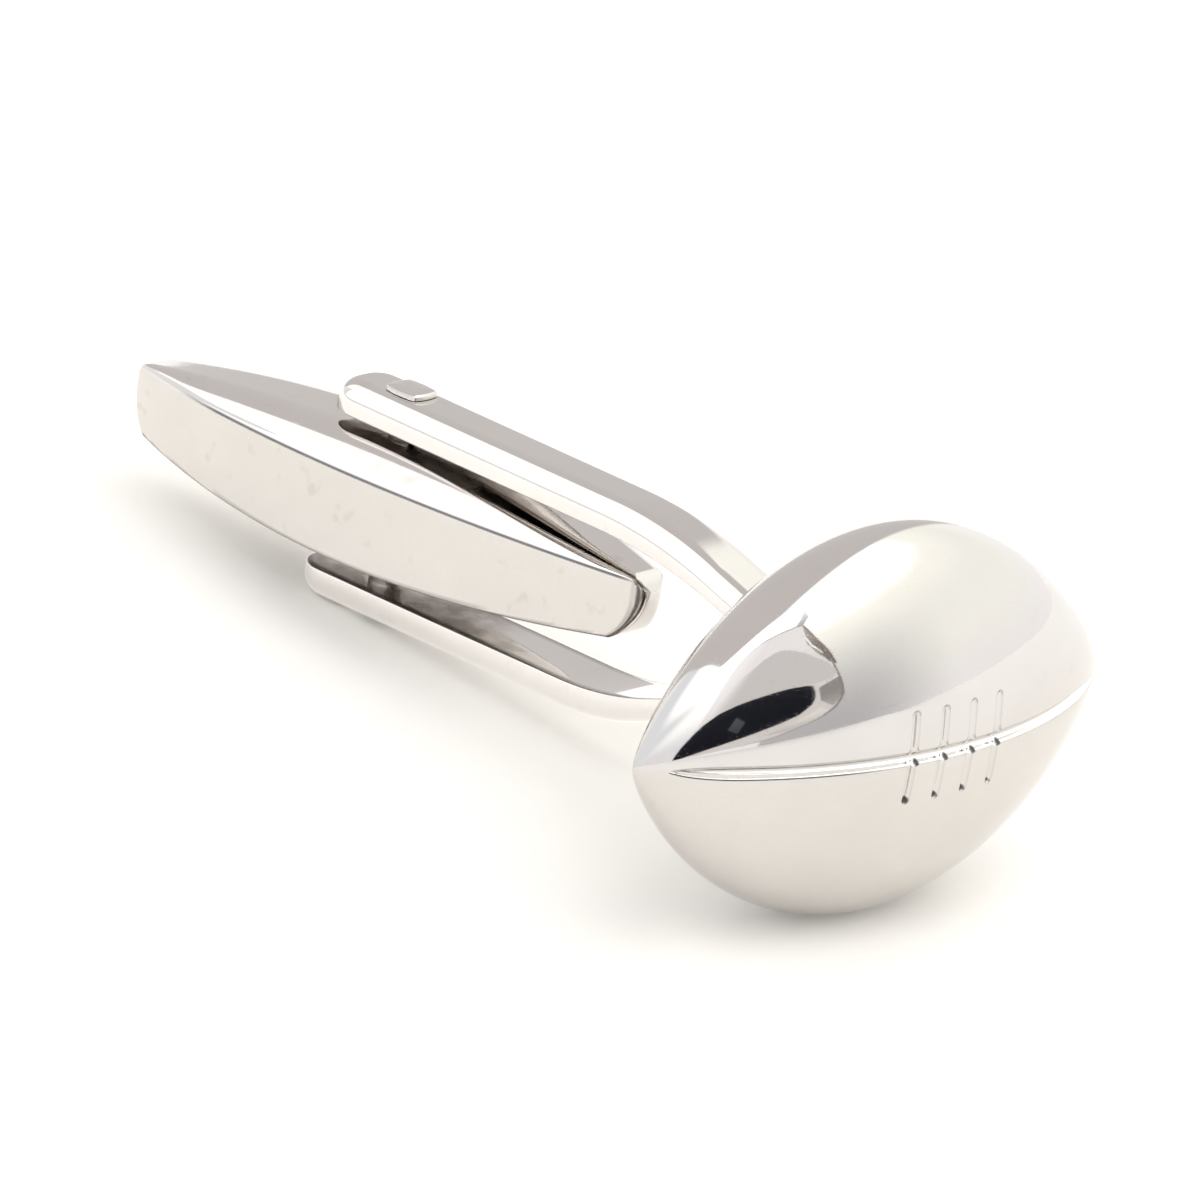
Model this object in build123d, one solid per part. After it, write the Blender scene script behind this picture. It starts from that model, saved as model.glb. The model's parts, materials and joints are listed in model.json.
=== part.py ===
from build123d import *
from math import cos, hypot, radians, sin, tan
import os

# Rugby ball cufflink: a flattened ball on a fork of two strip arms, with a bullet shaped
# toggle that swivels on a rivet between the arms. All sizes are in millimetres.
#
# The pieces are drawn in the ball's own frame: X runs from tip to tip, Y from the ball's
# back towards the toggle, and Z along the rivet. At the end everything is leaned over
# together, so that the belly of the ball and the end of the lower arm lie on Z = 0.

# Ball head
ball_length = 15.9
ball_width = 9.75
ball_front_depth = 2.65
ball_back_depth = 2.4
ball_fullness = 2.0
ball_taper = 1.2
profile_steps = 7

# Seam engraved from tip to tip on the front, and the lace bars that cross it
seam_width = 0.36
seam_depth = 0.14
seam_end_gap = 0.8
lace_count = 4
lace_pitch = 0.98
lace_length = 2.4
lace_width = 0.26
lace_depth = 0.12
lace_shift = 0.44

# Fork: two arms of one strip, straight at the toggle and bent in to the ball's back
arm_gap = 4.02
arm_width = 1.92
arm_thickness = 0.8
arm_edge_round = 0.55
arm_end_round = 0.85
upper_arm_tail = 1.95
lower_arm_tail = 2.25
upper_bend_radius = 14.0
lower_bend_radius = 9.0
upper_arm_slant = 16.5
lower_arm_slant = 18.5
upper_bend_place = 6.4
lower_bend_place = 7.6
solder_sink = 0.7
pivot_distance = 15.8

# Rivet through both arms, with a low square head above and a flush end below
rivet_diameter = 0.84
rivet_head_length = 1.1
rivet_head_width = 0.95
rivet_head_height = 0.17
rivet_head_round = 0.25
rivet_head_chamfer = 0.07
rivet_end_chamfer = 0.05
rivet_seat_gap = 0.01
rivet_arm_clearance = 0.01
rivet_toggle_clearance = 0.04

# Toggle: boat shaped from above and from the side, with upright walls, round shoulders up to
# a narrow flat top, and a shallow keel
toggle_length = 16.7
toggle_half_width = 2.0
toggle_end_half_width = 0.45
toggle_flat_half_width = 0.6
toggle_end_flat_half_width = 0.3
toggle_wall_height = 1.1
toggle_end_wall_height = 0.8
toggle_wall_depth = 1.14
toggle_end_wall_depth = 0.64
toggle_side_clearance = 0.22
toggle_end_crown_rise = 0.06
toggle_keel_drop = 0.36
toggle_end_keel_drop = 0.07
toggle_top_corner_round = 0.4
toggle_bottom_corner_round = 1.15
toggle_end_edge_round = 0.36
toggle_turn = 2.0
toggle_section_count = 5

# How far the lofted toggle stands past its side view at the ends, and the side view past it elsewhere
toggle_trim = 0.02

# How near an edge has to lie to a place to be taken for the one meant
match_tolerance = 0.001

# Search for the lean at which the whole link rests, in degrees
steepest_lean = 45.0
lean_halvings = 60


def ball_reach(share):
    """Reach of the ball's outline from its long axis, as a share, at a share of its half length."""
    return max(1 - abs(share) ** ball_fullness, 0) ** (1 / ball_taper)


def ball_quarter(inset, half_depth):
    """The ball between its middle and its +X tip, on the -Y side, with its skin moved in by inset."""
    half_length = ball_length / 2 - inset
    half_width = ball_width / 2 - inset
    shares = [cos(radians(90 * step / profile_steps)) for step in range(1, profile_steps)]
    outline_points = [(half_length, 0)]
    outline_points += [(half_length * share, half_width * ball_reach(share)) for share in shares]
    outline_points += [(0, half_width)]
    outline = Spline(*outline_points, tangents=[(0, 1), (-1, 0)])
    half_section = make_face(outline + Polyline(outline @ 1, (0, 0), outline @ 0))
    round_quarter = revolve(Rot(90, 0, 0) * half_section, Axis.X, 180)
    return scale(round_quarter, by=(1, (half_depth - inset) / half_width, 1))


def ball_solid(inset=0.0):
    """The plain ball, with its skin moved in by inset."""
    front = ball_quarter(inset, ball_front_depth)
    back = mirror(ball_quarter(inset, ball_back_depth), Plane.XZ)
    half_ball = front + back
    return half_ball + mirror(half_ball, Plane.YZ)


def front_cut(sketch, depth):
    """What a sketch drawn on X and Z engraves into the front of the ball to a depth."""
    slab = extrude(Plane.XZ * sketch, 2 * ball_front_depth)
    return slab - ball_solid(depth)


def seam_cut():
    """The groove that runs along the front from tip to tip."""
    band = Rectangle(ball_length - 2 * seam_end_gap, seam_width)
    return front_cut(band, seam_depth)


def lace_cuts():
    """The short grooves that cross the seam in a row."""
    first = lace_shift - lace_pitch * (lace_count - 1) / 2
    places = [first + place * lace_pitch for place in range(lace_count)]
    bar = SlotOverall(lace_length, lace_width, rotation=90)
    return [front_cut(Pos(place, 0) * bar, lace_depth) for place in places]


def arm_solid(side, tail, bend_place, bend_radius, slant):
    """One arm, at +Z for side 1 and -Z for side -1, from its free end to inside the ball's back."""
    inner = arm_gap / 2
    outer = inner + arm_thickness
    free_end = pivot_distance + tail
    root = ball_back_depth - solder_sink
    drop = (bend_place - root) * tan(radians(slant))
    corner_shift = arm_thickness * tan(radians(slant / 2))
    inner_corner = (bend_place, side * inner)
    outer_corner = (bend_place - corner_shift, side * outer)
    root_rise = arm_thickness / cos(radians(slant))
    inner_line = FilletPolyline(
        (free_end, side * inner),
        inner_corner,
        (root, side * (inner - drop)),
        radius=bend_radius,
    )
    outer_line = FilletPolyline(
        (free_end, side * outer),
        outer_corner,
        (root, side * (inner - drop + root_rise)),
        radius=bend_radius + arm_thickness,
    )
    ends = Line(inner_line @ 0, outer_line @ 0) + Line(inner_line @ 1, outer_line @ 1)
    strip = extrude(Plane.YZ * make_face(inner_line + outer_line + ends), arm_width / 2, both=True)
    plan_length = free_end - root
    plan = Rectangle(arm_width, plan_length)
    plan = fillet(plan.vertices().group_by(Axis.Y)[-1], arm_end_round)
    plan = Pos(0, root + plan_length / 2) * plan
    arm = strip & extrude(plan, 2 * outer, both=True)
    outer_wire = Plane.YZ * outer_line
    outer_edges = [edge for edge in arm.edges() if on_outer_face(edge, outer_wire)]
    return fillet(outer_edges, arm_edge_round)


def on_outer_face(edge, outer_wire):
    """Whether an arm's edge runs round its outer face, apart from the edge inside the ball."""
    middle = edge @ 0.5
    in_ball = middle.Y < ball_back_depth - solder_sink + match_tolerance
    return not in_ball and outer_wire.distance_to(Vector(0, middle.Y, middle.Z)) < match_tolerance


def ball_and_fork():
    """The ball head with both arms soldered to its back, as the one piece of metal that they are."""
    upper_arm = arm_solid(1, upper_arm_tail, upper_bend_place, upper_bend_radius, upper_arm_slant)
    lower_arm = arm_solid(-1, lower_arm_tail, lower_bend_place, lower_bend_radius, lower_arm_slant)
    fork = upper_arm + lower_arm
    bore = Cylinder(rivet_diameter / 2 + rivet_arm_clearance, 2 * (arm_gap + arm_thickness))
    fork = fork - Pos(0, pivot_distance, 0) * bore
    return ball_solid() + fork - seam_cut() - lace_cuts()


def pivot_rivet():
    """The rivet that the toggle turns on, with its head a hair clear of the upper arm."""
    arm_face = arm_gap / 2 + arm_thickness
    shaft = extrude(Circle(rivet_diameter / 2), 2 * arm_face + rivet_seat_gap)
    shaft = chamfer(shaft.faces().sort_by(Axis.Z)[0].edges(), rivet_end_chamfer)
    head_sketch = RectangleRounded(rivet_head_width, rivet_head_length, rivet_head_round)
    head = extrude(head_sketch, rivet_head_height)
    head = chamfer(head.faces().sort_by(Axis.Z)[-1].edges(), rivet_head_chamfer)
    axis_foot = Pos(0, pivot_distance, -arm_face)
    return axis_foot * shaft + Pos(0, pivot_distance, arm_face + rivet_seat_gap) * head


def toggle_taper(middle, end, share):
    """A size of the toggle that goes from middle to end, at a share of the half length."""
    return middle - (middle - end) * share ** 2


def toggle_crown(share):
    """Height of the toggle's top, which just clears the upper arm at the middle."""
    end = toggle_end_wall_height + toggle_end_crown_rise
    return toggle_taper(arm_gap / 2 - toggle_side_clearance, end, share)


def toggle_keel(share):
    """Depth of the toggle's rounded underside."""
    middle = toggle_wall_depth + toggle_keel_drop
    end = toggle_end_wall_depth + toggle_end_keel_drop
    return toggle_taper(middle, end, share)


def toggle_section(share):
    """The toggle's outline across its length, at a share of its half length from the middle."""
    half_width = toggle_taper(toggle_half_width, toggle_end_half_width, share)
    flat = toggle_taper(toggle_flat_half_width, toggle_end_flat_half_width, share)
    above = toggle_taper(toggle_wall_height, toggle_end_wall_height, share)
    below = toggle_taper(toggle_wall_depth, toggle_end_wall_depth, share)
    crown = toggle_crown(share)
    top = Line((-flat, crown), (flat, crown))
    right_shoulder = TangentArc((flat, crown), (half_width, above), tangent=(1, 0))
    left_shoulder = TangentArc((-flat, crown), (-half_width, above), tangent=(-1, 0))
    bottom = ThreePointArc((half_width, -below), (0, -toggle_keel(share)), (-half_width, -below))
    sides = Line(right_shoulder @ 1, bottom @ 0) + Line(bottom @ 1, left_shoulder @ 1)
    outline = top + right_shoulder + left_shoulder + bottom + sides
    return Plane.XZ.offset(-share * (toggle_length / 2 + toggle_trim)) * make_face(outline)


def toggle_side_view():
    """Side view that gives the toggle its blunt ends, rounder below than above."""
    reach = toggle_length / 2
    top_end = toggle_crown(1) + toggle_trim
    bottom_end = -toggle_keel(1) - toggle_trim
    top = ThreePointArc((-reach, top_end), (0, toggle_crown(0) + toggle_trim), (reach, top_end))
    bottom = ThreePointArc((-reach, bottom_end), (0, -toggle_keel(0) - toggle_trim), (reach, bottom_end))
    ends = Line(top @ 0, bottom @ 0) + Line(top @ 1, bottom @ 1)
    side_view = make_face(top + bottom + ends)
    side_view = fillet(side_view.vertices().group_by(Axis.Y)[-1], toggle_top_corner_round)
    side_view = fillet(side_view.vertices().group_by(Axis.Y)[0], toggle_bottom_corner_round)
    return Plane.YZ * side_view


def toggle_bar():
    """The toggle on its pivot, turned a little out of line with the ball."""
    shares = [2 * place / (toggle_section_count - 1) - 1 for place in range(toggle_section_count)]
    hull = loft([toggle_section(share) for share in shares])
    by_length = hull.edges().group_by(Axis.Y)
    end_edges = by_length[0] + by_length[-1]
    upright_edges = end_edges.filter_by_position(Axis.Z, -toggle_end_wall_depth, toggle_end_wall_height)
    hull = fillet(upright_edges, toggle_end_edge_round)
    hull = hull & extrude(toggle_side_view(), 2 * toggle_half_width, both=True)
    bore = Cylinder(rivet_diameter / 2 + rivet_toggle_clearance, arm_gap)
    return Pos(0, pivot_distance, 0) * Rot(0, 0, toggle_turn) * (hull - bore)


def resting_lean():
    """Angle about X that puts the ball's belly and the lower arm's free end on one level."""
    edge_y = pivot_distance + lower_arm_tail - arm_edge_round
    edge_z = arm_gap / 2 + arm_thickness - arm_edge_round
    low = 0.0
    high = steepest_lean
    for _ in range(lean_halvings):
        lean = (low + high) / 2
        sine = sin(radians(lean))
        cosine = cos(radians(lean))
        arm_depth = edge_y * sine + edge_z * cosine + arm_edge_round
        belly_depth = hypot(ball_back_depth * sine, ball_width / 2 * cosine)
        if arm_depth < belly_depth:
            low = lean
        else:
            high = lean
    return lean


def main():
    """Builds the pieces, lays them down as they rest, and writes each to its own file."""
    pieces = {
        "ball_head_fork": ball_and_fork(),
        "pivot_rivet": pivot_rivet(),
        "toggle_bar": toggle_bar(),
    }
    lean = Rot(-resting_lean(), 0, 0)
    leaned = {name: lean * piece for name, piece in pieces.items()}
    box = Compound(children=[Compound(piece.wrapped) for piece in leaned.values()]).bounding_box()
    middle = box.center()
    rest = Pos(-middle.X, -middle.Y, -box.min.Z)
    os.makedirs("parts", exist_ok=True)
    for name, piece in leaned.items():
        export_step(rest * piece, f"parts/{name}.step")
    pivot = rest * lean * Pos(0, pivot_distance, 0)
    print("lean", resting_lean(), "pivot", pivot.position, "box", box.size)


main()
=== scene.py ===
import json
from math import atan2, cos, pi, radians, sin, sqrt, tan

import bmesh
import bpy
import numpy as np
from mathutils import Matrix, Vector


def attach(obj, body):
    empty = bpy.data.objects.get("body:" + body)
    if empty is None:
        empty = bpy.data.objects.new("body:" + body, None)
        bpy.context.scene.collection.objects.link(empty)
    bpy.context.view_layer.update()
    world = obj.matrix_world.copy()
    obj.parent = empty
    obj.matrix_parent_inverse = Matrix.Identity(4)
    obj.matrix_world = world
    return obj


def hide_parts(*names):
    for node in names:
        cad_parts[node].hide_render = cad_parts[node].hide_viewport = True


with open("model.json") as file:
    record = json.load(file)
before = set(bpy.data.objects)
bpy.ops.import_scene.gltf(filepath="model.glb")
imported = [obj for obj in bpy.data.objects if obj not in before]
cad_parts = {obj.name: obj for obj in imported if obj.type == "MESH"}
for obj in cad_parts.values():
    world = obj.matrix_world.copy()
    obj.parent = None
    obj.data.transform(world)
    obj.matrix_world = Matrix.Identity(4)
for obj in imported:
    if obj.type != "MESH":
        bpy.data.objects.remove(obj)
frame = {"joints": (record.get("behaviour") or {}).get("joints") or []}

# A rugby ball cufflink in polished plated metal. The pieces are worked out in millimetres in
# the link's own frame, as in the CAD source: X from tip to tip of the ball, Y from the ball's
# back to the toggle, Z along the rivet. link_frame then lays them down where the CAD has them.
# Angles are in degrees, and the studio is in metres.

scene = bpy.context.scene
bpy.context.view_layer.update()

# Ball head
ball_length = 15.9
ball_width = 9.75
ball_front_depth = 2.65
ball_back_depth = 2.4
ball_fullness = 2.0
ball_taper = 1.2

# Seam and laces: their walls run in from the edge to the flat bottom
seam_width = 0.36
seam_end_gap = 0.7
seam_end_taper = 1.6
lace_count = 4
lace_pitch = 0.98
lace_length = 2.4
lace_width = 0.26
lace_shift = 0.44
groove_depth = 0.14
groove_wall_run = 0.13
groove_shoulder = 0.3
groove_corner_round = 0.1
seam_past_end = 0.02
lace_centres = [lace_shift + lace_pitch * (i - (lace_count - 1) / 2) for i in range(lace_count)]

# Painted shade, painted dark glints and a painted highlight in the grooves. Places on a wall are
# shares of its run, 0 at its edge
rim_place = 0.08
rim_width = 0.14
rim_fullness = 1.4
foot_place = 0.95
foot_width = 0.25
upper_rim_residue = 0.4
upper_foot_residue = 0.3
lower_rim_residue = 0.15
dark_rim_start = -1.8
dark_rim_run = 1.2
highlight_start = 0.15
highlight_run = 0.1
highlight_margin = 0.03
seam_crossing_dark_glint = 0.07
lace_end_dark_glints = (0.075, 0.055, 0.055, 0.04)
dark_glint_shift = 0.03
lace_dark_glint_inset = 0.1

# Fineness of the ball's mesh: lengths in mm along it and angles in degrees round it
ball_coarse_rows = 121
ball_back_columns = 142
lace_row_step = 0.02
lace_margin = 0.3
front_column_step = 0.22
front_column_reach = 15.4

# Fork
arm_gap = 4.02
arm_width = 1.92
arm_thickness = 0.8
arm_edge_round = 0.55
arm_inner_edge_round = 0.05
arm_end_round = 0.85
solder_sink = 0.7
solder_flare = 0.16
pivot_distance = 15.8
upper_arm = {"side": 1, "tail": 1.95, "bend_place": 6.4, "bend_radius": 14.0, "slant": 16.5}
lower_arm = {"side": -1, "tail": 2.25, "bend_place": 7.6, "bend_radius": 9.0, "slant": 18.5}

# Painted shade on the border of an arm's inner face, and the most tarnish and painted shade round
# the rivet there
arm_border_residue = 0.8
arm_tarnish_reach = 2.2
upper_arm_tarnish = 1.0
lower_arm_tarnish = 0.7

# Rivet
rivet_diameter = 0.84
rivet_head_length = 1.1
rivet_head_width = 0.95
rivet_head_height = 0.17
rivet_head_round = 0.25
rivet_head_soft = 0.09
rivet_head_dome = 0.03
rivet_end_chamfer = 0.05
rivet_seat_gap = 0.01
rivet_arm_clearance = 0.01
rivet_toggle_clearance = 0.04
rivet_tarnish = 0.8

# Toggle
toggle_length = 16.7
toggle_half_width = 2.0
toggle_end_half_width = 0.45
toggle_flat_half_width = 0.6
toggle_end_flat_half_width = 0.3
toggle_wall_height = 1.1
toggle_end_wall_height = 0.8
toggle_wall_depth = 1.14
toggle_end_wall_depth = 0.64
toggle_side_clearance = 0.22
toggle_end_crown_rise = 0.06
toggle_keel_drop = 0.36
toggle_end_keel_drop = 0.07
toggle_top_corner_round = 0.4
toggle_bottom_corner_round = 1.15
toggle_end_edge_round = 0.36
toggle_wall_edge_round = 0.07
toggle_edge_most = 0.93
toggle_turn = 2.0
toggle_wear_start = 0.5
toggle_wear_round = 0.4

# Painted shade and dark reflections along the toggle's edges and round its near end, and tarnish
# with painted shade on its keel. A band round the near end has its place on the edge from 0 to 1,
# a width, a fullness and a strength
toggle_line_width = 0.03
toggle_line_fullness = 1.5
toggle_upper_line = 0.9
toggle_lower_line = 0.8
toggle_line_end = 0.75
toggle_line_fade = 1.5
toggle_wall_band = 0.12
toggle_end_fade = 0.6
toggle_end_bands = ((0.62, 0.1, 1.5, 0.9), (0.35, 0.12, 1.6, 0.22))
toggle_keel_tarnish = 0.1
toggle_keel_fade = 0.1
toggle_tarnish_reach = 2.4

# Fineness of the other meshes, and the angle from which an edge stays sharp
sharp_angle = 40
arm_corner_steps = 15
arm_across = 9
rivet_columns = 96
toggle_columns = 84
toggle_end_rows = 34
toggle_end_reach = 1.25
toggle_row_step = 0.22

MM = 0.001

# Colours of the metal and the floor, and how far from the middle the floor's painted shade fades,
# in mm
metal_tint = (0.679, 0.65, 0.625)
# Tints for tarnish with painted shade, for painted shade and dark reflections, for stains, and for
# a painted highlight
tarnish_tint = (0.14, 0.1, 0.07)
residue_tint = (0.05, 0.044, 0.042)
stain_tint = (0.46, 0.39, 0.32)
painted_highlight_tint = (0.97, 0.97, 0.95)
near_floor_shade_tint = (0.92, 0.895, 0.85)
far_floor_tint = (0.95, 0.945, 0.935)
floor_glow = (0.1, 0.099, 0.096)
floor_near = 15.0
floor_far = 50.0

# The tent, lit so that the floor shows white. Its grey back wall takes up the directions on the
# positive side of four planes, and its flap's cards lie on one plane, a layer step apart
studio_light = 1.2
tent_radius = 0.6
back_wall_planes = (
    (-0.567, 0.822, 0.049),
    (0.905, 0.0, 0.425),
    (0.829, -0.145, 0.54),
    (0.0, 0.994, 0.109),
)
flap_facing = Vector((-0.12, -0.87, 0.48)).normalized()
flap_distance = 0.42
flap_layer_step = 0.002
flap_side_white = (1.15, 1.15, 1.17)

# Camera, fitted to the view wanted, with a long lens from far away
view_azimuth = -50.199
view_elevation = 23.9137
view_roll = 13.37
view_distance = 1.301475
view_lens = 1642.091
view_aim = Vector((-3.94952, -5.15939, 5.97919)) * MM

joint = frame["joints"][0]
pivot = Vector(joint["pos_m"])
lean = atan2(joint["axis"][1], joint["axis"][2])
to_ball = Matrix.Translation((0, -pivot_distance, 0))
link_frame = Matrix.Translation(pivot) @ Matrix.Rotation(-lean, 4, "X")
link_frame = link_frame @ Matrix.Scale(MM, 4) @ to_ball


def smooth_min(a, b, width):
    """The smaller of a and b, with the corner between them rounded over a width."""
    h = np.clip(0.5 + 0.5 * (b - a) / width, 0, 1)
    return b + (a - b) * h - width * h * (1 - h)


def peak(value, centre, width, fullness=1.0):
    """1 near a centre, falling to 0 at both sides. More fullness widens the part that is 1."""
    return np.clip(fullness - np.abs(value - centre) / width, 0, 1)


def ring_faces(rows, columns):
    """Quads between closed rings of vertices, which are in ring order."""
    faces = []
    for r in range(rows - 1):
        for c in range(columns):
            d = (c + 1) % columns
            a = r * columns
            b = a + columns
            faces.append((a + c, a + d, b + d, b + c))
    return faces


def add_mesh(name, vertices, faces, material, **shades):
    """A smooth mesh object from points in the link frame, with its normals outwards.

    shades are painted shade and dark reflections, tarnish with painted shade, and a painted
    highlight:
    values from 0 to 1 at its points, for the materials.
    """
    mesh = bpy.data.meshes.new(name)
    mesh.from_pydata([tuple(v) for v in vertices], [], faces)
    mesh.transform(link_frame)
    shape = bmesh.new()
    shape.from_mesh(mesh)
    bmesh.ops.recalc_face_normals(shape, faces=shape.faces)
    shape.to_mesh(mesh)
    shape.free()
    for label, values in shades.items():
        layer = mesh.attributes.new(label, "FLOAT", "POINT")
        layer.data.foreach_set("value", np.asarray(values, dtype=np.float32))
    mesh.shade_smooth()
    mesh.set_sharp_from_angle(angle=radians(sharp_angle))
    mesh.materials.append(material)
    piece = bpy.data.objects.new(name, mesh)
    scene.collection.objects.link(piece)
    return piece


def place(piece, body, node):
    """Puts a finished piece on its body, in place of the CAD node that it stands for."""
    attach(piece, body)
    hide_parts(node)


def drill(piece, radius):
    """Cuts the rivet's hole right through a piece."""
    bpy.ops.mesh.primitive_cylinder_add(vertices=64, radius=radius, depth=3 * arm_gap)
    cutter = bpy.context.object
    cutter.data.transform(link_frame @ Matrix.Translation((0, pivot_distance, 0)))
    cut = piece.modifiers.new("bore", "BOOLEAN")
    cut.operation = "DIFFERENCE"
    cut.solver = "EXACT"
    cut.object = cutter
    bpy.context.view_layer.objects.active = piece
    bpy.ops.object.modifier_apply(modifier="bore")
    bpy.data.objects.remove(cutter)


# Ball

def ramp(t, shoulder):
    """0 to 1 over t from 0 to 1: a straight slope with both its ends rounded off."""
    t = np.clip(t, 0, 1)
    scale = 2 * shoulder * (1 - shoulder)
    low = t ** 2 / scale
    middle = (t - shoulder / 2) / (1 - shoulder)
    high = 1 - (1 - t) ** 2 / scale
    return np.where(t < shoulder, low, np.where(t > 1 - shoulder, high, middle))


def groove_wall(x, z):
    """How far down the wall of the seam or a lace each point is, 1 at its foot, and which side."""
    half_length = ball_length / 2 - seam_end_gap
    to_end = np.clip((half_length - np.abs(x)) / seam_end_taper, 0, 1)
    half_width = seam_width / 2 * np.sqrt(1 - (1 - to_end) ** 2)
    outside = np.abs(z) - half_width + seam_past_end * (to_end <= 0)
    along = np.maximum(np.abs(z) - (lace_length - lace_width) / 2, 0)
    for centre in lace_centres:
        lace = np.hypot(x - centre, along) - lace_width / 2
        outside = smooth_min(outside, lace, groove_corner_round)
    upper_side = np.gradient(outside, axis=1) > 0
    return -outside / groove_wall_run, upper_side


def groove_shades(x, z, wall, upper_side):
    """Painted shade, painted dark glints and a painted highlight in the grooves, by how far down
    its wall each point is.
    """
    # Painted shade along the rims and feet of the walls, darkest on the upper walls and towards the
    # left
    rim = peak(wall, rim_place, rim_width, rim_fullness)
    foot = peak(wall, foot_place, foot_width)
    to_left = np.clip((dark_rim_start - x) / dark_rim_run, 0, 1)
    lower_residue = (lower_rim_residue + (1 - lower_rim_residue) * to_left) * rim
    upper_residue = np.maximum(upper_rim_residue * rim, upper_foot_residue * foot)
    residue = np.where(upper_side, upper_residue, lower_residue)
    # A painted highlight on the seam's lower wall, which faces up towards the bright ceiling
    in_seam = (z < 0) & (z > -seam_width / 2 - highlight_margin)
    painted_highlight = np.clip((wall - highlight_start) / highlight_run, 0, 1) * ~upper_side * in_seam
    # Painted dark glints at each lace crossing and lower lace end: painted reflections of the dark
    # opening
    for centre, end_pit in zip(lace_centres, lace_end_dark_glints):
        crossing = (centre + lace_width / 2 + dark_glint_shift, -lace_width / 2, seam_crossing_dark_glint)
        lower_end = (centre + dark_glint_shift, lace_dark_glint_inset - lace_length / 2, end_pit)
        for glint_x, glint_z, size in (crossing, lower_end):
            away = np.hypot(x - glint_x, z - glint_z) / size
            residue = np.maximum(residue, np.clip(2.0 - 1.4 * away, 0, 1))
    return residue, painted_highlight


def build_ball(material):
    reach = ball_length / 2
    coarse = reach * np.sin(np.radians(np.linspace(-90, 90, ball_coarse_rows)))
    fine = np.arange(lace_centres[0] - lace_margin, lace_centres[-1] + lace_margin, lace_row_step)
    beside = (coarse < fine[0] - lace_row_step) | (coarse > fine[-1] + lace_row_step)
    xs = np.sort(np.concatenate([coarse[beside], fine]))[1:-1]
    front_columns = np.arange(-front_column_reach, front_column_reach + 0.01, front_column_step)
    back_columns = np.linspace(front_column_reach, 360 - front_column_reach, ball_back_columns)
    around = np.concatenate([front_columns, back_columns[1:-1]])
    x, angle = np.meshgrid(xs, np.radians(around), indexing="ij")
    share = x / reach
    girth = (1 - np.abs(share) ** ball_fullness) ** (1 / ball_taper)
    depth = np.where(np.cos(angle) > 0, ball_front_depth, ball_back_depth)
    y = -depth * girth * np.cos(angle)
    z = ball_width / 2 * girth * np.sin(angle)
    slope = 2 * ball_fullness / ball_taper * share / reach
    slope = slope * (1 - share ** 2) ** (2 / ball_taper - 1)
    normal = np.stack([slope, 2 * y / depth ** 2, 2 * z / (ball_width / 2) ** 2], -1)
    normal /= np.linalg.norm(normal, axis=-1, keepdims=True)
    wall, upper_side = groove_wall(x, z)
    front = np.cos(angle) > 0.5
    sink = groove_depth * ramp(wall, groove_shoulder) * front
    # The painted shade, dark glints and highlight lie on the ball's front only
    residue, painted_highlight = (shade * front for shade in groove_shades(x, z, wall, upper_side))
    points = np.stack([x, y, z], -1) - normal * sink[..., None]
    rows, columns = x.shape
    left_tip = rows * columns
    right_tip = left_tip + 1
    vertices = [*points.reshape(-1, 3), (-reach, 0, 0), (reach, 0, 0)]
    faces = ring_faces(rows, columns)
    last = (rows - 1) * columns
    for c in range(columns):
        d = (c + 1) % columns
        faces.append((left_tip, d, c))
        faces.append((right_tip, last + c, last + d))
    shades = {"residue": [*residue.reshape(-1), 0, 0], "painted_highlight": [*painted_highlight.reshape(-1), 0, 0]}
    return add_mesh("ball_head", vertices, faces, material, **shades)


# Fork arms

def arm_path(side, tail, bend_place, bend_radius, slant):
    """Stations along an arm's inner face from its free end: length, y, z and the slope there."""
    inner = arm_gap / 2
    straight = pivot_distance + tail - bend_place - bend_radius * tan(radians(slant / 2))
    arc = bend_radius * radians(slant)
    root = ball_back_depth - solder_sink
    last = (bend_place - root) / cos(radians(slant)) - bend_radius * tan(radians(slant / 2))
    corner = arm_end_round * (1 - np.cos(np.linspace(0, pi / 2, arm_corner_steps)))
    run = np.arange(arm_end_round + 0.2, straight, 0.3)
    bend = straight + np.linspace(0, arc, 26)
    tail_run = straight + arc + np.linspace(0, last, 46)[1:]
    lengths = np.concatenate([corner, run, bend, tail_run])
    stations = []
    for length in lengths:
        turned = min(max(length - straight, 0) / bend_radius, radians(slant))
        beyond = max(length - straight - arc, 0)
        y = pivot_distance + tail - min(length, straight)
        y -= bend_radius * sin(turned) + beyond * cos(turned)
        z = inner - bend_radius * (1 - cos(turned)) - beyond * sin(turned)
        stations.append((length, y, side * z, side * turned))
    return stations


def solder_swell(x, y, z):
    """How far the solder stands out from an arm where it meets the ball's back."""
    girth = (1 - (x / (ball_length / 2)) ** 2) ** (1 / ball_taper)
    back = ball_back_depth * sqrt(max(girth ** 2 - (z / (ball_width / 2)) ** 2, 0))
    near = min(max(1 - (y - back) / solder_flare, 0), 1)
    return solder_flare * (1 - sqrt(max(1 - near ** 2, 0)))


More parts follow.
